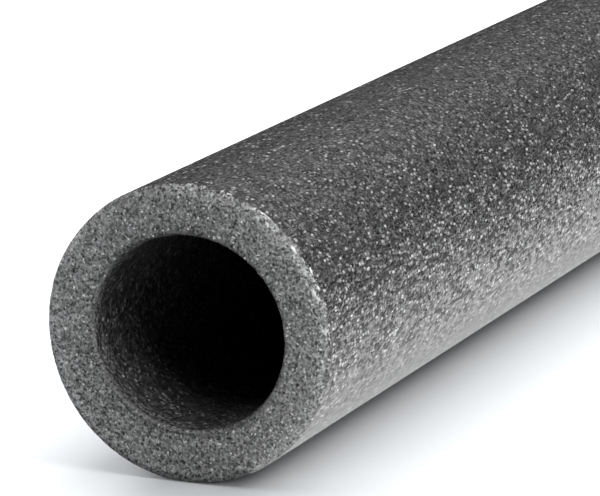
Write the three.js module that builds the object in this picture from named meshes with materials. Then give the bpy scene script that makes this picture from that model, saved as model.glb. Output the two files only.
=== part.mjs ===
// Foam pipe lagging: one straight length of extruded foam tube, lying on its side.
// Units are millimetres. +X runs along the tube, +Z is up, and the origin is on the
// surface that the tube lies on, under the middle of its length.

import * as THREE from "three";

// Driving dimensions
const tubeLength = 1000; // one sold length
const pipeDiameter = 35; // the pipe that the lagging slips over
const slipClearance = 1; // how much wider than that pipe the bore is made
const wallThickness = 9;
const boreSag = 0.33; // the soft tube lies with its bore this much wider and lower, each side
const outerEdgeRound = 1.2; // the cut rolls the outer edge over
const boreEdgeRound = 0.4;

// How finely round shapes are drawn
const sidesAround = 72;
const stepsPerEdge = 3;

// Sizes that follow from those above
const boreRadius = (pipeDiameter + slipClearance) / 2;
const outerRadius = boreRadius + wallThickness;
const sideAngle = (2 * Math.PI) / sidesAround;
const axisHeight = outerRadius * Math.cos(sideAngle / 2); // it lies on one side of the polygon

// The wall cut along the axis: x is the radius and y the place along the tube.
// Both cuts are square, with a rounded edge at the outside and a smaller one at the bore.
function wallSection() {
  const outer = Math.min(outerEdgeRound, wallThickness / 2);
  const inner = Math.min(boreEdgeRound, wallThickness / 2);
  const quarter = Math.PI / 2;
  const section = new THREE.Path();
  section.moveTo(boreRadius + inner, 0);
  section.lineTo(outerRadius - outer, 0);
  section.absarc(outerRadius - outer, outer, outer, -quarter, 0);
  section.lineTo(outerRadius, tubeLength - outer);
  section.absarc(outerRadius - outer, tubeLength - outer, outer, 0, quarter);
  section.lineTo(boreRadius + inner, tubeLength);
  section.absarc(boreRadius + inner, tubeLength - inner, inner, quarter, 2 * quarter);
  section.lineTo(boreRadius, inner);
  section.absarc(boreRadius + inner, inner, inner, 2 * quarter, 3 * quarter);
  return section;
}

// The section's outline as points, without the doubles where a line meets an arc.
function sectionPoints(section) {
  const points = [];
  for (const curve of section.curves) {
    const steps = curve.isLineCurve ? 1 : stepsPerEdge;
    points.push(...curve.getPoints(steps).slice(1));
  }
  return [...points, points[0].clone()];
}

// Turns the round bore into the slightly flattened one of a soft tube at rest. The move
// fades out through the wall, so the outside stays round.
function flattenBore(geometry) {
  const places = geometry.getAttribute("position");
  const point = new THREE.Vector3();
  for (let i = 0; i < places.count; i += 1) {
    point.fromBufferAttribute(places, i);
    const radius = Math.hypot(point.y, point.z);
    const share = (outerRadius - radius) / wallThickness;
    const angle = Math.atan2(point.z, point.y);
    const moved = radius + share * boreSag * Math.cos(2 * angle);
    places.setXYZ(i, point.x, moved * Math.cos(angle), moved * Math.sin(angle));
  }
  geometry.computeVertexNormals();
  return geometry;
}

function foamTube() {
  const geometry = new THREE.LatheGeometry(sectionPoints(wallSection()), sidesAround);
  geometry.rotateY(sideAngle / 2); // puts a flat side at the bottom once the tube lies down
  geometry.rotateZ(-Math.PI / 2);
  flattenBore(geometry);
  const foam = new THREE.MeshStandardMaterial({
    color: 0x58585a,
    roughness: 0.85,
    metalness: 0,
  });
  const tube = new THREE.Mesh(geometry, foam);
  tube.name = "foam_tube";
  tube.position.set(-tubeLength / 2, 0, axisHeight);
  return tube;
}

const lagging = new THREE.Group();
lagging.add(foamTube());

export default lagging;
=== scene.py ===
# Foam pipe lagging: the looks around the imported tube.
# Lengths are in metres. +X runs along the tube, away from the camera, and +Z is up.

import math

import bpy
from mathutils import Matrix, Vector


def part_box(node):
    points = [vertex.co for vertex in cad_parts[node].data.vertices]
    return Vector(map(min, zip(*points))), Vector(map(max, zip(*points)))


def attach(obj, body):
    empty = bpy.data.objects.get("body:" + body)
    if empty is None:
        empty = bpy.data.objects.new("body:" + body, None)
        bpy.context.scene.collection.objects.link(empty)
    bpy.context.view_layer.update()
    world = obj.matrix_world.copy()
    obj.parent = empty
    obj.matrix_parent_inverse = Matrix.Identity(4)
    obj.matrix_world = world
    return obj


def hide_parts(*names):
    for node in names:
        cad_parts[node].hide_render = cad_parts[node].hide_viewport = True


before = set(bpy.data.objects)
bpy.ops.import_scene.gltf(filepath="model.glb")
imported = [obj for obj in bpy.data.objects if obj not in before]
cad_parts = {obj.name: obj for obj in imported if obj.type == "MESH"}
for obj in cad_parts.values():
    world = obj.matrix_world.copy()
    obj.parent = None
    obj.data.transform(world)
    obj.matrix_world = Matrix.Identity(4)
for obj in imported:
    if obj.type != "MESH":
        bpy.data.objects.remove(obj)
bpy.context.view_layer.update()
mm = 0.001


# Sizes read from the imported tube

def measureTube(nodeName):
    low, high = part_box(nodeName)
    middleY = (low.y + high.y) / 2
    axisHeight = (low.z + high.z) / 2
    across = [
        (abs(vertex.co.y - middleY), abs(vertex.co.z - axisHeight))
        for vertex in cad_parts[nodeName].data.vertices
    ]
    # the bore is a little wider than high, so it is read level with the axis and above it
    steep = 5  # a point counts as level or above when it lies this much further that way
    boreWide = min(math.hypot(y, z) for y, z in across if y > steep * z)
    boreHigh = min(math.hypot(y, z) for y, z in across if z > steep * y)
    return {
        "start": low.x,
        "length": high.x - low.x,
        "middleY": middleY,
        "axisHeight": axisHeight,
        "outerRadius": (high.z - low.z) / 2,
        "boreRadius": (boreWide + boreHigh) / 2,
        "boreSag": (boreWide - boreHigh) / 2,
    }


tubeSize = measureTube("foam_tube")
wallThickness = tubeSize["outerRadius"] - tubeSize["boreRadius"]
print("read the tube:", {name: round(size, 5) for name, size in tubeSize.items()})


# The camera, placed from the centre of the near cut

cameraView = {
    "azimuth": -67.46,  # degrees; 0 looks along +Y
    "elevation": 12.81,
    "distance": 748.6 * mm,  # along the view, to the centre of the near cut
    "centreLeft": 19.95 * mm,  # where that centre shows, from the picture's middle
    "centreBelow": 15.24 * mm,
    "lens": 255.8,
}


def makeCamera():
    turn = math.radians(cameraView["azimuth"])
    tilt = math.radians(cameraView["elevation"])
    back = Vector((
        math.sin(turn) * math.cos(tilt),
        -math.cos(turn) * math.cos(tilt),
        math.sin(tilt),
    ))
    data = bpy.data.cameras.new("camera")
    data.lens = cameraView["lens"]
    camera = bpy.data.objects.new("camera", data)
    camera.rotation_mode = "QUATERNION"
    camera.rotation_quaternion = (-back).to_track_quat("-Z", "Y")
    axes = camera.rotation_quaternion.to_matrix()
    right, up = axes.col[0], axes.col[1]
    nearCentre = Vector((tubeSize["start"], tubeSize["middleY"], tubeSize["axisHeight"]))
    camera.location = (
        nearCentre
        + back * cameraView["distance"]
        + right * cameraView["centreLeft"]
        + up * cameraView["centreBelow"]
    )
    bpy.context.scene.collection.objects.link(camera)
    bpy.context.scene.camera = camera


makeCamera()
print("set the camera")


# Helpers for node trees of both kinds

def addNode(tree, kind, **settings):
    node = tree.nodes.new(kind)
    for name, value in settings.items():
        setattr(node, name, value)
    return node


def feed(tree, node, values):
    # each value is a number or colour to set, or another node's output to link
    for name, value in values.items():
        if isinstance(value, bpy.types.NodeSocket):
            tree.links.new(value, node.inputs[name])
        else:
            node.inputs[name].default_value = value


def calculate(tree, operation, first, second=0.0, third=0.0):
    node = addNode(tree, "ShaderNodeMath", operation=operation)
    feed(tree, node, {0: first, 1: second, 2: third})
    return node.outputs[0]


def product(tree, first, *others):
    for other in others:
        first = calculate(tree, "MULTIPLY", first, other)
    return first


def total(tree, first, *others):
    for other in others:
        first = calculate(tree, "ADD", first, other)
    return first


def scaleAndAdd(tree, value, scale, added):
    return calculate(tree, "MULTIPLY_ADD", value, scale, added)


def hypotenuse(tree, first, second):
    return calculate(tree, "SQRT", total(tree, product(tree, first, first), product(tree, second, second)))


def reciprocal(tree, size):
    if isinstance(size, bpy.types.NodeSocket):
        return calculate(tree, "DIVIDE", 1.0, size)
    return 1 / size


def fade(tree, value, start, end, atStart=0.0, atEnd=1.0, kind="SMOOTHSTEP"):
    node = addNode(tree, "ShaderNodeMapRange", interpolation_type=kind)
    feed(tree, node, {
        "Value": value,
        "From Min": start,
        "From Max": end,
        "To Min": atStart,
        "To Max": atEnd,
    })
    return node.outputs["Result"]


def splitWays(tree, vector):
    node = addNode(tree, "ShaderNodeSeparateXYZ")
    tree.links.new(vector, node.inputs[0])
    return node.outputs


def combineVectors(tree, operation, *vectors):
    node = addNode(tree, "ShaderNodeVectorMath", operation=operation)
    feed(tree, node, dict(enumerate(vectors)))
    return node.outputs[0]


def scaleVector(tree, vector, scale):
    node = addNode(tree, "ShaderNodeVectorMath", operation="SCALE")
    feed(tree, node, {0: vector, "Scale": scale})
    return node.outputs[0]


def randomWay(tree, colour):
    # a colour's three shares run from 0 to 1, and become a way that may point anywhere
    return combineVectors(tree, "SUBTRACT", colour, (0.5, 0.5, 0.5))


def cloud(tree, place, size, detail=2.0, roughness=0.5):
    # soft noise, as far below 0 as above it
    node = addNode(tree, "ShaderNodeTexNoise", noise_dimensions="3D")
    feed(tree, node, {
        "Vector": place,
        "Scale": reciprocal(tree, size),
        "Detail": detail,
        "Roughness": roughness,
    })
    return calculate(tree, "SUBTRACT", node.outputs[0], 0.5)


def wander(tree, place, size, amount):
    # pushes places about at random, by up to that many cells, so that cells lose their even shape
    node = addNode(tree, "ShaderNodeTexNoise", noise_dimensions="3D")
    feed(tree, node, {"Vector": place, "Scale": reciprocal(tree, size), "Detail": 1.0})
    push = randomWay(tree, node.outputs["Color"])
    return combineVectors(tree, "MULTIPLY_ADD", push, product(tree, size, amount), place)


def foamCells(tree, place, size, wandering):
    # for each cell: how far its middle is, in cells, two random numbers and a random way
    node = addNode(tree, "ShaderNodeTexVoronoi", voronoi_dimensions="3D", feature="F1")
    feed(tree, node, {
        "Vector": wander(tree, place, size, wandering),
        "Scale": reciprocal(tree, size),
    })
    draws = splitWays(tree, node.outputs["Color"])
    return {
        "distance": node.outputs["Distance"],
        "luck": draws[0],
        "tone": draws[1],
        "lean": randomWay(tree, node.outputs["Color"]),
    }


lowLeftAcross, lowLeftDown = 0.77, 0.64  # the way to the tube's lower left, seen from the camera


def fromAxis(tree, place):
    # how far the tube's axis is, and how far the way from it points to the lower left, to the
    # left and up, each from -1 to 1
    parts = splitWays(tree, place)
    across, up = parts[1], calculate(tree, "SUBTRACT", parts[2], tubeSize["axisHeight"])
    radius = hypotenuse(tree, across, up)
    lowLeft = calculate(
        tree, "SUBTRACT", product(tree, across, lowLeftAcross), product(tree, up, lowLeftDown))
    return {
        "radius": radius,
        "lowLeft": calculate(tree, "DIVIDE", lowLeft, radius),
        "left": calculate(tree, "DIVIDE", across, radius),
        "up": calculate(tree, "DIVIDE", up, radius),
    }


# The foam's three finishes

def newMaterial(name):
    material = bpy.data.materials.new(name)
    material.use_nodes = True
    tree = material.node_tree
    tree.nodes.clear()
    output = addNode(tree, "ShaderNodeOutputMaterial")
    shader = addNode(tree, "ShaderNodeBsdfPrincipled")
    tree.links.new(shader.outputs["BSDF"], output.inputs["Surface"])
    coordinates = addNode(tree, "ShaderNodeTexCoord")
    return material, tree, shader, coordinates.outputs["Object"]


def grey(value):
    return (value, value, value, 1.0)


def blendColours(tree, share, first, second):
    # a mix of colours takes its two at sockets 6 and 7
    node = addNode(tree, "ShaderNodeMix", data_type="RGBA")
    feed(tree, node, {0: share, 6: first, 7: second})
    return node.outputs[2]


def bump(tree, height, depth):
    node = addNode(tree, "ShaderNodeBump")
    feed(tree, node, {"Height": height, "Distance": depth, "Strength": 1.0})
    return node.outputs["Normal"]


def tilt(tree, normal, lean, amount):
    # leans each cell's face its own way, so that the cells glint one by one
    tilted = combineVectors(tree, "ADD", scaleVector(tree, lean, amount), normal)
    return combineVectors(tree, "NORMALIZE", tilted)


def stretch(tree, place, amounts):
    return combineVectors(tree, "MULTIPLY", place, amounts)


def grain(tree, place, size):
    return cloud(tree, place, size, detail=3.0, roughness=0.6)


def domes(tree, cells, lowest):
    # a dome over each cell, and the lowest has this share of the highest one's height
    dome = calculate(tree, "SUBTRACT", 1.0, product(tree, cells["distance"], cells["distance"]))
    return product(tree, dome, scaleAndAdd(tree, cells["luck"], 1 - lowest, lowest))


def paintedGlintMask(tree, cells, luck, reach):
    # painted glints: the cells with this much luck get a bright colour as if they caught the light, fading
    # from their middles outwards
    return product(
        tree, fade(tree, cells["luck"], *luck), fade(tree, cells["distance"], *reach, 1.0, 0.0))


def cutShareOf(tree):
    # 1 on a cut face, 0 on the skin and in the bore, and between them on the rounded edges
    node = addNode(tree, "ShaderNodeAttribute", attribute_type="GEOMETRY", attribute_name="cutShare")
    return node.outputs["Fac"]


# a pair of numbers says between which two values something fades in or out
skinLook = {
    "dark": 0.004,
    "light": 0.105,
    # painted glints: the colour of the brightest cells, standing in for the skin's glints
    "paintedGlint": 0.5,
    "paintedGlintLuck": (0.6, 1.0),
    "paintedGlintReach": (0.15, 0.6),
    "cell": 0.66 * mm,
    "drawn": 0.52,  # cells are this much narrower across than along the tube
    "wander": 0.7,  # how far cells are pushed out of shape, in cells
    "tone": 0.5,  # how much lighter one cell may be than another
    "toneLeast": 0.05,
    "grain": 0.42 * mm,
    "grainShade": 3.0,
    "patch": 1.8 * mm,
    "patchShade": 0.8,
    "domeHeight": 0.28 * mm,
    "domeLowest": 0.4,  # as a share of the highest dome
    "ruffle": 0.5,  # unevenness of the domes, as a share of their height
    "lean": 0.40,
    "gloss": 0.8,
    "matt": 0.65,
    "shiny": 0.18,
    "shinyTone": (0.05, 0.6),
    "paintedLipHighlight": 0.6,  # painted highlight: bright strokes where the skin meets the cut, to its upper right, on the rounded edge that faces the lights
    "lipStroke": 1.8 * mm,
    "lipThin": 3.2,
    "lipGaps": (0.05, 0.14),
    "lipShare": (0.0, 0.15),
    "lipSide": (-0.5, -0.9),
    "underPaintedLight": 0.085,  # painted light: the underside is blended towards a paler, even grey, standing in for the light from the bright floor below; it is also smoother, with less relief
    "underPaintedLightShare": 0.5,
    "underRoughness": 0.45,
    "underRelief": 0.4,
    "underSide": (-0.1, -0.7),
}


def skinMaterial():
    material, tree, shader, place = newMaterial("foam_skin")
    look = skinLook
    ways = fromAxis(tree, place)
    drawn = stretch(tree, place, (look["drawn"], 1.0, 1.0))
    cells = foamCells(tree, drawn, look["cell"], look["wander"])
    fine = grain(tree, drawn, look["grain"])

    shade = scaleAndAdd(tree, cells["tone"], look["tone"], look["toneLeast"])
    shade = scaleAndAdd(tree, fine, look["grainShade"], shade)
    shade = scaleAndAdd(tree, grain(tree, drawn, look["patch"]), look["patchShade"], shade)
    colour = blendColours(tree, fade(tree, shade, 0.0, 1.0), grey(look["dark"]), grey(look["light"]))
    # painted glints on the skin
    paintedGlint = paintedGlintMask(tree, cells, look["paintedGlintLuck"], look["paintedGlintReach"])
    colour = blendColours(tree, paintedGlint, colour, grey(look["paintedGlint"]))
    # painted light from the floor on the underside's colour; the same mask also smooths its roughness and
    # relief
    under = fade(tree, ways["up"], *look["underSide"])
    underPaintedLightShare = product(tree, under, look["underPaintedLightShare"])
    colour = blendColours(tree, underPaintedLightShare, colour, grey(look["underPaintedLight"]))

    # painted highlight along the skin's rounded edge at the upper right
    stroked = stretch(tree, place, (look["lipThin"], 1.0, 1.0))
    paintedLipHighlight = product(
        tree,
        fade(tree, cloud(tree, stroked, look["lipStroke"]), *look["lipGaps"]),
        fade(tree, cutShareOf(tree), *look["lipShare"]),
        fade(tree, ways["lowLeft"], *look["lipSide"]),
    )
    roughness = fade(tree, cells["tone"], *look["shinyTone"], look["matt"], look["shiny"])
    smoother = calculate(tree, "SUBTRACT", look["underRoughness"], roughness)
    steady = fade(tree, ways["up"], *look["underSide"], 1.0, look["underRelief"])
    height = scaleAndAdd(tree, fine, look["ruffle"], domes(tree, cells, look["domeLowest"]))
    domed = bump(tree, height, product(tree, steady, look["domeHeight"]))
    feed(tree, shader, {
        "Base Color": blendColours(tree, paintedLipHighlight, colour, grey(look["paintedLipHighlight"])),
        "Roughness": scaleAndAdd(tree, smoother, under, roughness),
        "Specular IOR Level": look["gloss"],
        "Normal": tilt(tree, domed, cells["lean"], product(tree, steady, look["lean"])),
    })
    return material


cutLook = {
    # painted shade: the dark colour of the open cells' hollows, also used for the painted shade beside the
    # bore
    "paintedPitShade": 0.007,
    "wall": 0.225,
    "wallPaintedLight": 0.27,  # painted light: the cut is a little paler at its lower left
    "wallLowSide": (-0.2, 0.9),
    "cell": 0.62 * mm,
    "wander": 0.8,
    "cellEdge": (0.1, 0.8),
    "edgeShade": 0.4,
    "tone": 0.35,
    "grain": 0.42 * mm,
    "grainShade": 2.6,
    "shadeRange": (-0.08, 1.15),
    "paintedRimLight": 0.42,  # painted highlights: bright strokes towards the cut's outer edge, strongest to its upper right, where the rounded edge faces the lights
    "rimShare": 0.9,
    "rimReach": 3.2 * mm,
    "rimGaps": (0.35, 0.65),
    "rimWall": (0.0, 0.8),
    "rimUpperRight": (-0.2, -0.8),
    "rimLeftSide": (0.5, 0.9),
    "rimLeft": 0.8,  # this much of them to its left, and the least anywhere
    "rimLow": 0.3,
    "paintedDash": 0.48,  # painted highlights: a few brighter ones at the very edge
    "dashGaps": (0.58, 0.63),
    "dashEdge": (1.5 * mm, 0.7 * mm),  # inwards from the outer edge
    "dashSide": (-0.7, -0.95),
    "stroke": 1.6 * mm,
    "strokeThin": 3.0,  # how many times thinner across the rim than along it
    "boreSideShade": 0.6,  # painted shade: how much darker the cut is beside the bore, but for its lower left
    "boreSideReach": 2.0 * mm,
    "boreSideWay": (0.8, 0.1),
    "boreRoll": 0.45,  # painted shade: and how much darker it is where it rolls into the bore
    "boreRollReach": 0.8 * mm,
    # painted glints: the colour of bright specks on the cut, standing in for glints on its cell walls
    "paintedGlint": 0.45,
    "paintedGlintCell": 0.60 * mm,
    "paintedGlintWander": 1.2,
    "paintedGlintLuck": (0.65, 1.0),
    "paintedGlintReach": (0.1, 0.5),
    "lean": 0.6,
    "roughness": 0.5,
    "fineHeight": 0.10 * mm,
}


def rimStrokes(tree, place, radius):
    # the fourth way through the noise is the radius, so the strokes run round the rim
    node = addNode(tree, "ShaderNodeTexNoise", noise_dimensions="4D")
    feed(tree, node, {
        "Vector": place,
        "W": product(tree, radius, cutLook["strokeThin"]),
        "Scale": 1 / cutLook["stroke"],
        "Detail": 2.0,
    })
    return node.outputs[0]


def paintRimHighlights(tree, colour, wall, ways, strokes):
    # painted highlights along the cut's outer rim, and brighter painted dashes at its very edge
    look = cutLook
    radius, outerEdge = ways["radius"], tubeSize["outerRadius"]
    upperRight = fade(tree, ways["lowLeft"], *look["rimUpperRight"])
    elsewhere = fade(tree, ways["left"], *look["rimLeftSide"], look["rimLow"], look["rimLeft"])
    paintedRimLight = product(
        tree,
        fade(tree, radius, outerEdge - look["rimReach"], outerEdge, 0.0, look["rimShare"]),
        fade(tree, strokes, *look["rimGaps"]),
        calculate(tree, "MAXIMUM", upperRight, elsewhere),
        fade(tree, wall, *look["rimWall"]),
    )
    dashStart, dashWhole = (outerEdge - inwards for inwards in look["dashEdge"])
    paintedDash = product(
        tree,
        fade(tree, strokes, *look["dashGaps"]),
        fade(tree, radius, dashStart, dashWhole),
        fade(tree, ways["lowLeft"], *look["dashSide"]),
    )
    colour = blendColours(tree, paintedRimLight, colour, grey(look["paintedRimLight"]))
    return blendColours(tree, paintedDash, colour, grey(look["paintedDash"]))


def paintBoreEdgeShade(tree, colour, ways):
    # painted shade beside the bore's edge, and deeper where the cut rolls into the bore
    look = cutLook
    radius, boreEdge = ways["radius"], tubeSize["boreRadius"]
    side = fade(tree, radius, boreEdge, boreEdge + look["boreSideReach"], look["boreSideShade"], 0.0)
    side = product(tree, side, fade(tree, ways["lowLeft"], *look["boreSideWay"]))
    roll = fade(tree, radius, boreEdge, boreEdge + look["boreRollReach"], look["boreRoll"], 0.0)
    return blendColours(tree, calculate(tree, "MAXIMUM", side, roll), colour, grey(look["paintedPitShade"]))


def cutMaterial():
    material, tree, shader, place = newMaterial("foam_cut")
    look = cutLook
    ways = fromAxis(tree, place)
    cells = foamCells(tree, place, look["cell"], look["wander"])

    # the walls between the cells are pale, and the open cells are darker, as painted shade in their
    # hollows; each cell's tone and the grain also vary at random
    edges = product(tree, fade(tree, cells["distance"], *look["cellEdge"]), look["edgeShade"])
    wall = scaleAndAdd(tree, cells["tone"], look["tone"], edges)
    wall = scaleAndAdd(tree, grain(tree, place, look["grain"]), look["grainShade"], wall)
    wall = fade(tree, wall, *look["shadeRange"], kind="LINEAR")
    # painted light: paler towards the cut's lower left
    lower = fade(tree, ways["lowLeft"], *look["wallLowSide"])
    pale = blendColours(tree, lower, grey(look["wall"]), grey(look["wallPaintedLight"]))
    colour = blendColours(tree, wall, grey(look["paintedPitShade"]), pale)

    # painted highlights on the rim, then painted shade beside the bore
    colour = paintRimHighlights(tree, colour, wall, ways, rimStrokes(tree, place, ways["radius"]))
    colour = paintBoreEdgeShade(tree, colour, ways)
    # painted glints on the cut
    strayCells = foamCells(tree, place, look["paintedGlintCell"], look["paintedGlintWander"])
    paintedGlint = paintedGlintMask(tree, strayCells, look["paintedGlintLuck"], look["paintedGlintReach"])
    relief = bump(tree, wall, look["fineHeight"])
    feed(tree, shader, {
        "Base Color": blendColours(tree, paintedGlint, colour, grey(look["paintedGlint"])),
        "Roughness": look["roughness"],
        "Normal": tilt(tree, relief, strayCells["lean"], look["lean"]),
    })
    return material


boreLook = {
    "dark": 0.004,
    "light": 0.07,
    # painted glints: the colour of bright specks in the bore, standing in for its glints
    "paintedGlint": 0.35,
    "paintedGlintLuck": (0.7, 1.0),
    "paintedGlintReach": (0.15, 0.6),
    "mouthPaintedLight": 0.20,  # painted light: paler near the opening, fading inwards, where light from outside reaches in
    "mouthReach": 6.0 * mm,
    "cell": 0.6 * mm,
    "spread": 0.75,  # cells are this much narrower along than across the tube
    "wander": 0.8,
    "tone": 0.6,
    "grain": 0.42 * mm,
    "grainShade": 3.0,
    "domeHeight": 0.22 * mm,
    "domeLowest": 0.4,
    "lean": 0.5,
    "matt": 0.5,
    "shiny": 0.25,
    "shinyTone": (0.35, 0.9),
}


def boreMaterial():
    material, tree, shader, place = newMaterial("foam_bore")
    look = boreLook
    drawn = stretch(tree, place, (1.0, look["spread"], look["spread"]))
    cells = foamCells(tree, drawn, look["cell"], look["wander"])

    shade = product(tree, cells["tone"], look["tone"])
    shade = scaleAndAdd(tree, grain(tree, drawn, look["grain"]), look["grainShade"], shade)
    # painted light: the bore is paler near each opening, fading inwards
    fromMiddle = calculate(tree, "ABSOLUTE", splitWays(tree, place)[0])
    depth = calculate(tree, "SUBTRACT", tubeSize["length"] / 2, fromMiddle)
    mouthPaintedLight = fade(tree, depth, 0.0, look["mouthReach"], 1.0, 0.0)
    light = blendColours(tree, mouthPaintedLight, grey(look["light"]), grey(look["mouthPaintedLight"]))
    colour = blendColours(tree, fade(tree, shade, 0.0, 1.0), grey(look["dark"]), light)
    # painted glints in the bore
    paintedGlint = paintedGlintMask(tree, cells, look["paintedGlintLuck"], look["paintedGlintReach"])
    domed = bump(tree, domes(tree, cells, look["domeLowest"]), look["domeHeight"])
    feed(tree, shader, {
        "Base Color": blendColours(tree, paintedGlint, colour, grey(look["paintedGlint"])),
        "Roughness": fade(tree, cells["tone"], *look["shinyTone"], look["matt"], look["shiny"]),
        "Normal": tilt(tree, domed, cells["lean"], look["lean"]),
    })
    return material


foamLooks = {"Skin": skinMaterial(), "Cut": cutMaterial(), "Bore": boreMaterial()}
print("made the foam's materials")


# The tube: the wall's section, swept round the axis and given its relief

foamTube = {
    "sidesAround": 448,
    "outerEdge": 2.2 * mm,  # how far each rounded edge reaches across the cut
    "boreEdge": 0.6 * mm,
    "outerRoll": 1.3 * mm,  # and how far it reaches along the tube
    "boreRoll": 1.6 * mm,
    "nearEdgeRings": 11,
    "farEdgeRings": 7,
    "nearCutRings": 28,
    "farCutRings": 18,
    "skinRings": 94,
    "boreRings": 34,
    "pitDepth": 0.24 * mm,
    "pitReach": (0.1, 0.7),
    "pitShallowest": 0.35,  # as a share of the deepest pit
    "pitShare": (0.2, 0.7),  # pits start on the rounded edges and are whole on the cut
    "cutWave": 0.10 * mm,
    "cutWaveSize": 5 * mm,
    "skinWave": 0.07 * mm,
    "skinWaveSize": 3.5 * mm,
    "skinDrawn": 0.25,  # the skin's waves are this much narrower across than along the tube
    "fray": 0.3 * mm,  # how ragged the rounded edges are
    "fraySize": 0.8 * mm,
    "fuller": 0.4 * mm,  # how much fuller the outer edge is at the tube's lower left
    "fullerSide": (0.0, 0.6),
    "raggedFray": 1.6,  # fine raggedness of the line where the cut's finish ends
    "raggedShare": (0.0, 0.2),
    "raggedMost": 0.8,
    "cutReach": 0.25,  # the share of a cut at which that line lies
    "cutReachLow": 0.02,
    "seed": 4.0,
}


def evenRings(start, end, count):
    return [start + (end - start) * step / count for step in range(1, count + 1)]


def crowdedRings(start, end, count, startPower=1.5, endPower=1.7):
    # rings from start to end that stand closest together near both of them
    rings = []
    for step in range(1, count + 1):
        share = step / count
        early, late = share ** startPower, (1 - share) ** endPower
        rings.append(start + (end - start) * early / (early + late))
    return rings


def wallSection():
    # points once round the wall: (along the tube, out from the bore, share of a cut face)
    tube = foamTube
    outer, inner = tube["outerEdge"], tube["boreEdge"]
    outerRoll, boreRoll = tube["outerRoll"], tube["boreRoll"]
    near, far = tube["nearEdgeRings"], tube["farEdgeRings"]
    length, wall = tubeSize["length"], wallThickness
    points = []

    def roundEdge(along, out, roll, edge, startAngle, rings, leavesCut):
        # a quarter turn to the next side of the wall, about the point (along, out)
        for step in range(1, rings + 1):
            share = step / rings
            angle = math.radians(startAngle - 90 * share)
            cutShare = 1 - share if leavesCut else share
            points.append((along + roll * math.cos(angle), out + edge * math.sin(angle), cutShare))

    points += [(0.0, out, 1.0) for out in evenRings(inner, wall - outer, tube["nearCutRings"])]
    roundEdge(outerRoll, wall - outer, outerRoll, outer, 180, near, True)
    skin = crowdedRings(outerRoll, length - outerRoll, tube["skinRings"])
    points += [(along, wall, 0.0) for along in skin]
    roundEdge(length - outerRoll, wall - outer, outerRoll, outer, 90, far, False)
    points += [(length, out, 1.0) for out in evenRings(wall - outer, inner, tube["farCutRings"])]
    roundEdge(length - boreRoll, inner, boreRoll, inner, 0, far, True)
    bore = crowdedRings(length - boreRoll, boreRoll, tube["boreRings"])
    points += [(along, 0.0, 0.0) for along in bore]
    roundEdge(boreRoll, inner, boreRoll, inner, -90, near, False)
    return points


def sectionObject():
    points = wallSection()
    mesh = bpy.data.meshes.new("wall_section")
    loop = [(index, (index + 1) % len(points)) for index in range(len(points))]
    mesh.from_pydata([(out, along, 0.0) for along, out, cutShare in points], loop, [])
    shares = mesh.attributes.new("cutShare", "FLOAT", "POINT")
    shares.data.foreach_set("value", [cutShare for along, out, cutShare in points])
    section = bpy.data.objects.new("wall_section", mesh)
    bpy.context.scene.collection.objects.link(section)
    return section


def newTree(name, inputs):
    # inputs gives each input's socket kind; the tree also takes and gives a geometry
    tree = bpy.data.node_groups.new(name, "GeometryNodeTree")
    tree.interface.new_socket("Geometry", in_out="INPUT", socket_type="NodeSocketGeometry")
    tree.interface.new_socket("Geometry", in_out="OUTPUT", socket_type="NodeSocketGeometry")
    for label, kind in inputs.items():
        tree.interface.new_socket(label, in_out="INPUT", socket_type=kind)
    given = addNode(tree, "NodeGroupInput").outputs
    result = addNode(tree, "NodeGroupOutput").inputs[0]
    return tree, given, result


def setInputs(modifier, values):
    # a modifier knows its inputs by identifier
    for item in modifier.node_group.interface.items_tree:
        if item.in_out == "INPUT" and item.name in values:
            modifier[item.identifier] = values[item.name]


def positionOf(tree):
    return addNode(tree, "GeometryNodeInputPosition").outputs[0]


def moveTo(tree, mesh, position):
    node = addNode(tree, "GeometryNodeSetPosition")
    feed(tree, node, {"Geometry": mesh, "Position": position})
    return node.outputs["Geometry"]


def joinWays(tree, along, across, up):
    node = addNode(tree, "ShaderNodeCombineXYZ")
    feed(tree, node, {0: along, 1: across, 2: up})
    return node.outputs[0]


def sweepSection(tree, given):
    # the section goes round a circle of the bore's size, about the Z axis
    section = addNode(tree, "GeometryNodeMeshToCurve")
    tree.links.new(given["Geometry"], section.inputs["Mesh"])
    circle = addNode(tree, "GeometryNodeCurvePrimitiveCircle")
    feed(tree, circle, {"Resolution": given["Sides Around"], "Radius": given["Bore Radius"]})
    sweep = addNode(tree, "GeometryNodeCurveToMesh")
    feed(tree, sweep, {
        "Curve": circle.outputs["Curve"],
        "Profile Curve": section.outputs["Curve"],
    })
    outward = addNode(tree, "GeometryNodeFlipFaces")
    tree.links.new(sweep.outputs["Mesh"], outward.inputs["Mesh"])
    return outward.outputs["Mesh"]


def layDown(tree, given, mesh):
    # turns the tube's axis to +X, and lets the bore sag as the soft tube lies: wider by the sag,
    # and as much lower
    across, up, along = splitWays(tree, positionOf(tree))
    angle = calculate(tree, "ARCTAN2", up, across)
    radius = hypotenuse(tree, across, up)
    wall = calculate(tree, "SUBTRACT", given["Outer Radius"], given["Bore Radius"])
    depth = calculate(tree, "DIVIDE", calculate(tree, "SUBTRACT", given["Outer Radius"], radius), wall)
    # 1 level with the axis, and -1 above and below it
    sideways = calculate(tree, "COSINE", product(tree, angle, 2.0))
    moved = total(tree, radius, product(tree, depth, given["Bore Sag"], sideways))
    place = joinWays(
        tree,
        calculate(tree, "SUBTRACT", given["Start"], along),
        product(tree, moved, calculate(tree, "COSINE", angle)),
        scaleAndAdd(tree, moved, calculate(tree, "SINE", angle), given["Axis Height"]),
    )
    return moveTo(tree, mesh, place)


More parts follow.
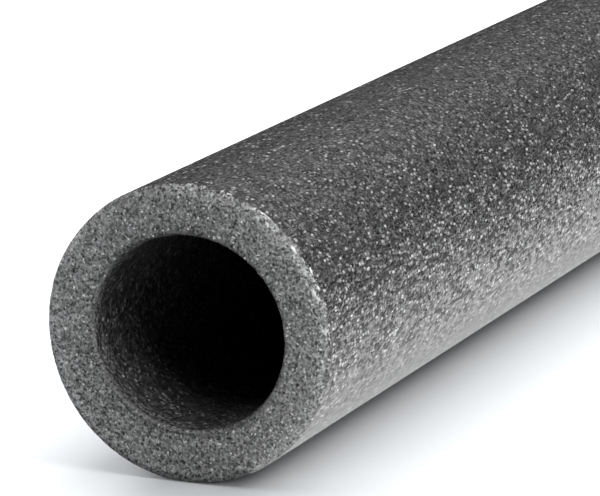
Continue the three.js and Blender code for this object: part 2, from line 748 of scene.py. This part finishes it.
def readSurface(tree, given):
    # what the relief and the finishes both follow
    place = positionOf(tree)
    seeded = combineVectors(tree, "ADD", place, given["Seed"])
    share = addNode(tree, "GeometryNodeInputNamedAttribute", data_type="FLOAT")
    share.inputs["Name"].default_value = "cutShare"
    return {
        "place": place,
        "seeded": seeded,
        "cutShare": share.outputs[0],
        "waves": cloud(tree, seeded, given["Cut Wave Size"]),
        "fraying": cloud(tree, seeded, given["Fray Size"]),
        **fromAxis(tree, place),
    }


def addRelief(tree, given, surface, mesh):
    tube = foamTube
    cutShare = surface["cutShare"]
    skinShare = calculate(tree, "SUBTRACT", 1.0, cutShare)

    cells = foamCells(tree, surface["place"], given["Cell Size"], cutLook["wander"])
    shallowest = tube["pitShallowest"]
    pits = product(
        tree,
        fade(tree, cells["distance"], *tube["pitReach"], 1.0, 0.0),
        scaleAndAdd(tree, cells["luck"], 1 - shallowest, shallowest),
        given["Pit Depth"],
        fade(tree, cutShare, *tube["pitShare"]),
    )
    cutWave = product(tree, surface["waves"], given["Cut Wave"], cutShare)
    # the skin's waves are drawn out along the tube, as the foam was pulled from its die
    drawn = stretch(tree, surface["seeded"], (tube["skinDrawn"], 1.0, 1.0))
    skinCloud = cloud(tree, drawn, given["Skin Wave Size"], detail=3.0)
    skinWave = product(tree, skinCloud, given["Skin Wave"], skinShare)

    # the rounded edges are a little ragged, most of all halfway round, and fuller at the lower left
    rounded = product(tree, cutShare, skinShare, 4.0)
    fray = product(tree, surface["fraying"], given["Fray"], rounded)
    low = fade(tree, surface["lowLeft"], *tube["fullerSide"])
    fuller = product(tree, low, given["Fuller"], rounded)

    out = calculate(tree, "SUBTRACT", total(tree, cutWave, skinWave, fray, fuller), pits)
    normal = addNode(tree, "GeometryNodeInputNormal").outputs[0]
    relief = addNode(tree, "GeometryNodeSetPosition")
    feed(tree, relief, {"Geometry": mesh, "Offset": scaleVector(tree, normal, out)})
    return relief.outputs["Geometry"]


def restOnFloor(tree, mesh):
    # the soft tube lies flat on the floor where it would reach below it
    along, across, up = splitWays(tree, positionOf(tree))
    return moveTo(tree, mesh, joinWays(tree, along, across, calculate(tree, "MAXIMUM", up, 0.0)))


def smoothAndRealize(tree, mesh):
    smooth = addNode(tree, "GeometryNodeSetShadeSmooth")
    tree.links.new(mesh, smooth.inputs["Geometry"])
    realized = addNode(tree, "GeometryNodeRealizeInstances")
    tree.links.new(smooth.outputs["Geometry"], realized.inputs["Geometry"])
    return realized.outputs["Geometry"]


def paintFinishes(tree, given, surface, mesh):
    tube = foamTube
    cutShare, radius = surface["cutShare"], surface["radius"]
    middle = product(tree, total(tree, given["Outer Radius"], given["Bore Radius"]), 0.5)

    # the cut's finish ends in a ragged line, and takes in the whole outer edge at the lower left
    ragged = product(
        tree,
        scaleAndAdd(tree, surface["fraying"], tube["raggedFray"], surface["waves"]),
        fade(tree, cutShare, *tube["raggedShare"], 0.0, tube["raggedMost"]),
    )
    low = fade(tree, surface["lowLeft"], *tube["fullerSide"])
    lowEdge = product(tree, low, calculate(tree, "GREATER_THAN", radius, middle))
    reach = scaleAndAdd(tree, lowEdge, tube["cutReachLow"] - tube["cutReach"], tube["cutReach"])
    finishes = {
        "Skin": True,
        "Bore": calculate(tree, "LESS_THAN", radius, middle),
        "Cut": calculate(tree, "GREATER_THAN", total(tree, ragged, cutShare), reach),
    }
    for label, selection in finishes.items():
        painted = addNode(tree, "GeometryNodeSetMaterial")
        feed(tree, painted, {"Geometry": mesh, "Selection": selection, "Material": given[label]})
        mesh = painted.outputs["Geometry"]
    return mesh


def foamTree():
    number, whole, material = "NodeSocketFloat", "NodeSocketInt", "NodeSocketMaterial"
    tree, given, result = newTree("foam_tube_shape", {
        "Sides Around": whole,
        "Start": number,
        "Axis Height": number,
        "Outer Radius": number,
        "Bore Radius": number,
        "Bore Sag": number,
        "Cell Size": number,
        "Pit Depth": number,
        "Cut Wave": number,
        "Cut Wave Size": number,
        "Skin Wave": number,
        "Skin Wave Size": number,
        "Fray": number,
        "Fray Size": number,
        "Fuller": number,
        "Seed": number,
        "Skin": material,
        "Cut": material,
        "Bore": material,
    })
    mesh = layDown(tree, given, sweepSection(tree, given))
    surface = readSurface(tree, given)
    mesh = restOnFloor(tree, addRelief(tree, given, surface, mesh))
    mesh = paintFinishes(tree, given, surface, smoothAndRealize(tree, mesh))
    tree.links.new(mesh, result)
    return tree


def plainMesh(source, name):
    # what the modifiers make becomes a mesh of its own, and the source goes
    graph = bpy.context.evaluated_depsgraph_get()
    mesh = bpy.data.meshes.new_from_object(source.evaluated_get(graph))
    mesh.name = name
    bpy.data.objects.remove(source)
    piece = bpy.data.objects.new(name, mesh)
    bpy.context.scene.collection.objects.link(piece)
    return piece


def makeTube():
    section = sectionObject()
    modifier = section.modifiers.new("shape", "NODES")
    modifier.node_group = foamTree()
    setInputs(modifier, {
        "Sides Around": foamTube["sidesAround"],
        "Start": tubeSize["start"],
        "Axis Height": tubeSize["axisHeight"],
        "Outer Radius": tubeSize["outerRadius"],
        "Bore Radius": tubeSize["boreRadius"],
        "Bore Sag": tubeSize["boreSag"],
        "Cell Size": cutLook["cell"],
        "Pit Depth": foamTube["pitDepth"],
        "Cut Wave": foamTube["cutWave"],
        "Cut Wave Size": foamTube["cutWaveSize"],
        "Skin Wave": foamTube["skinWave"],
        "Skin Wave Size": foamTube["skinWaveSize"],
        "Fray": foamTube["fray"],
        "Fray Size": foamTube["fraySize"],
        "Fuller": foamTube["fuller"],
        "Seed": foamTube["seed"],
        **foamLooks,
    })
    return plainMesh(section, "lagging_tube")


laggingTube = makeTube()
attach(laggingTube, "root")
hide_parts("foam_tube")
print("made the tube:", len(laggingTube.data.polygons), "faces")


# Floor, backdrop and lights

studio = {
    "floorHalf": 30.0,
    "floorTone": 0.85,
    "floorRoughness": 0.8,
    "floorGlow": 1.05,  # how much the floor glows past the lights' reach, so that it stays pale
    "glowReach": (0.55, 1.5),
    "floorTint": (0.94, 0.97, 1.0),  # the floor's light is a little cool, which shows in the shadows
    "tubeTint": (1.0, 1.0, 1.0),
    "backdrop": 1.1,  # what the camera sees behind the floor
    "fill": 0.04,  # faint light from all round
    "fillTint": (0.94, 0.97, 1.0, 1.0),
    "aimPast": 0.08,  # the lights point at the axis, this far in from the near cut
    "away": 1.6,  # and stand this far from that point
}

# softboxes round the near end: azimuth 0 is on the tube's right and 90 in front of its cut
floorBoxes = {
    "wash_top": {"azimuth": 0, "elevation": 90, "width": 1.4, "height": 1.4, "glow": 1.7},
    "wash_low_right": {"azimuth": 45, "elevation": 20, "width": 1.4, "height": 0.8, "glow": 1.0},
    "wash_low_front": {"azimuth": 90, "elevation": 20, "width": 1.4, "height": 0.8, "glow": 1.7},
    "wash_low_left": {"azimuth": 225, "elevation": 20, "width": 1.4, "height": 0.8, "glow": 7.5},
    "wash_right": {"azimuth": 0, "elevation": 50, "width": 1.1, "height": 0.9, "glow": 4.0},
    "wash_flat": {"azimuth": 0, "elevation": 12, "width": 1.6, "height": 0.5, "glow": 1.3},
    "wash_left": {"azimuth": 225, "elevation": 50, "width": 1.1, "height": 0.9, "glow": 1.9},
    "wash_back": {"azimuth": 270, "elevation": 50, "width": 1.1, "height": 0.9, "glow": 4.6},
    "wash_back_right": {"azimuth": 315, "elevation": 50, "width": 1.1, "height": 0.9, "glow": 1.6},
}
tubeBoxes = {
    "key": {"azimuth": 25, "elevation": 41, "width": 0.8, "height": 1.2, "glow": 6.6},
    "low_right": {"azimuth": 25, "elevation": 10, "width": 0.8, "height": 0.4, "glow": 1.9},
    "front_high": {"azimuth": 52, "elevation": 55, "width": 0.8, "height": 0.6, "glow": 7.4},
    "front_top": {"azimuth": 90, "elevation": 63, "width": 1.0, "height": 0.6, "glow": 3.0},
    "back_right": {"azimuth": -45, "elevation": 50, "width": 1.0, "height": 0.8, "glow": 1.0},
    "back": {"azimuth": 270, "elevation": 44, "width": 1.2, "height": 0.8, "glow": 1.3},
    "far_left": {"azimuth": 190, "elevation": 25, "width": 1.8, "height": 0.8, "glow": 3.0},
    "left": {"azimuth": 140, "elevation": 15, "width": 1.2, "height": 0.6, "glow": 0.5},
}

# a bright card lying beside the tube, which lights the underside of its right flank
floorCard = {
    "along": -0.06,
    "across": -0.06,
    "up": 2 * mm,
    "width": 1.16,
    "height": 0.096,
    "glow": 1.45,
}


def makeFloor():
    half = studio["floorHalf"]
    mesh = bpy.data.meshes.new("floor")
    corners = [(-half, -half, 0), (half, -half, 0), (half, half, 0), (-half, half, 0)]
    mesh.from_pydata(corners, [], [(0, 1, 2, 3)])
    floor = bpy.data.objects.new("floor", mesh)
    bpy.context.scene.collection.objects.link(floor)
    material, tree, shader, place = newMaterial("pale_floor")
    reach = addNode(tree, "ShaderNodeVectorMath", operation="LENGTH")
    tree.links.new(place, reach.inputs[0])
    far = fade(tree, reach.outputs["Value"], *studio["glowReach"])
    feed(tree, shader, {
        "Base Color": grey(studio["floorTone"]),
        "Roughness": studio["floorRoughness"],
        "Emission Color": grey(1.0),
        "Emission Strength": product(tree, far, studio["floorGlow"]),
    })
    mesh.materials.append(material)
    # the floor is far brighter than white, so the tube's gloss must not show it
    floor.visible_glossy = False
    return floor


def makeWorld():
    # the camera sees the backdrop, and everything else the fill
    world = bpy.data.worlds.new("studio")
    world.use_nodes = True
    bpy.context.scene.world = world
    tree = world.node_tree
    tree.nodes.clear()
    fill = addNode(tree, "ShaderNodeBackground")
    feed(tree, fill, {"Color": studio["fillTint"], "Strength": studio["fill"]})
    backdrop = addNode(tree, "ShaderNodeBackground")
    feed(tree, backdrop, {"Color": grey(1.0), "Strength": studio["backdrop"]})
    seen = addNode(tree, "ShaderNodeLightPath")
    either = addNode(tree, "ShaderNodeMixShader")
    feed(tree, either, {0: seen.outputs["Is Camera Ray"], 1: fill.outputs[0], 2: backdrop.outputs[0]})
    output = addNode(tree, "ShaderNodeOutputWorld")
    tree.links.new(either.outputs[0], output.inputs["Surface"])


def makeLight(name, size, place, target, lit, tint):
    # lit is the collection of the pieces that the light reaches
    data = bpy.data.lights.new(name, "AREA")
    data.shape = "RECTANGLE"
    data.size, data.size_y = size["width"], size["height"]
    # glow is how bright the light's face is, and this is the power that it takes
    data.energy = size["glow"] * math.pi * size["width"] * size["height"]
    data.color = tint
    light = bpy.data.objects.new(name, data)
    light.location = place
    light.rotation_mode = "QUATERNION"
    light.rotation_quaternion = (target - place).to_track_quat("-Z", "Y")
    light.visible_camera = False
    light.light_linking.receiver_collection = lit
    bpy.context.scene.collection.objects.link(light)


def makeSoftboxes(boxes, lit, tint):
    target = Vector((tubeSize["start"] + studio["aimPast"], tubeSize["middleY"], tubeSize["axisHeight"]))
    for name, box in boxes.items():
        turn, tilt = math.radians(box["azimuth"]), math.radians(box["elevation"])
        level = math.cos(tilt)
        away = Vector((-math.sin(turn) * level, -math.cos(turn) * level, math.sin(tilt)))
        makeLight(name, box, target + away * studio["away"], target, lit, tint)


def makeCard(lit, tint):
    place = Vector((floorCard["along"], floorCard["across"], floorCard["up"]))
    makeLight("floor_card", floorCard, place, place + Vector((0, 0, 1)), lit, tint)


def litOnly(piece):
    group = bpy.data.collections.new(piece.name + "_lit")
    group.objects.link(piece)
    return group


floorLit, tubeLit = litOnly(makeFloor()), litOnly(laggingTube)
makeWorld()
makeSoftboxes(floorBoxes, floorLit, studio["floorTint"])
makeSoftboxes(tubeBoxes, tubeLit, studio["tubeTint"])
makeCard(tubeLit, studio["tubeTint"])
bpy.context.scene.view_settings.view_transform = "Standard"
print("set the studio")
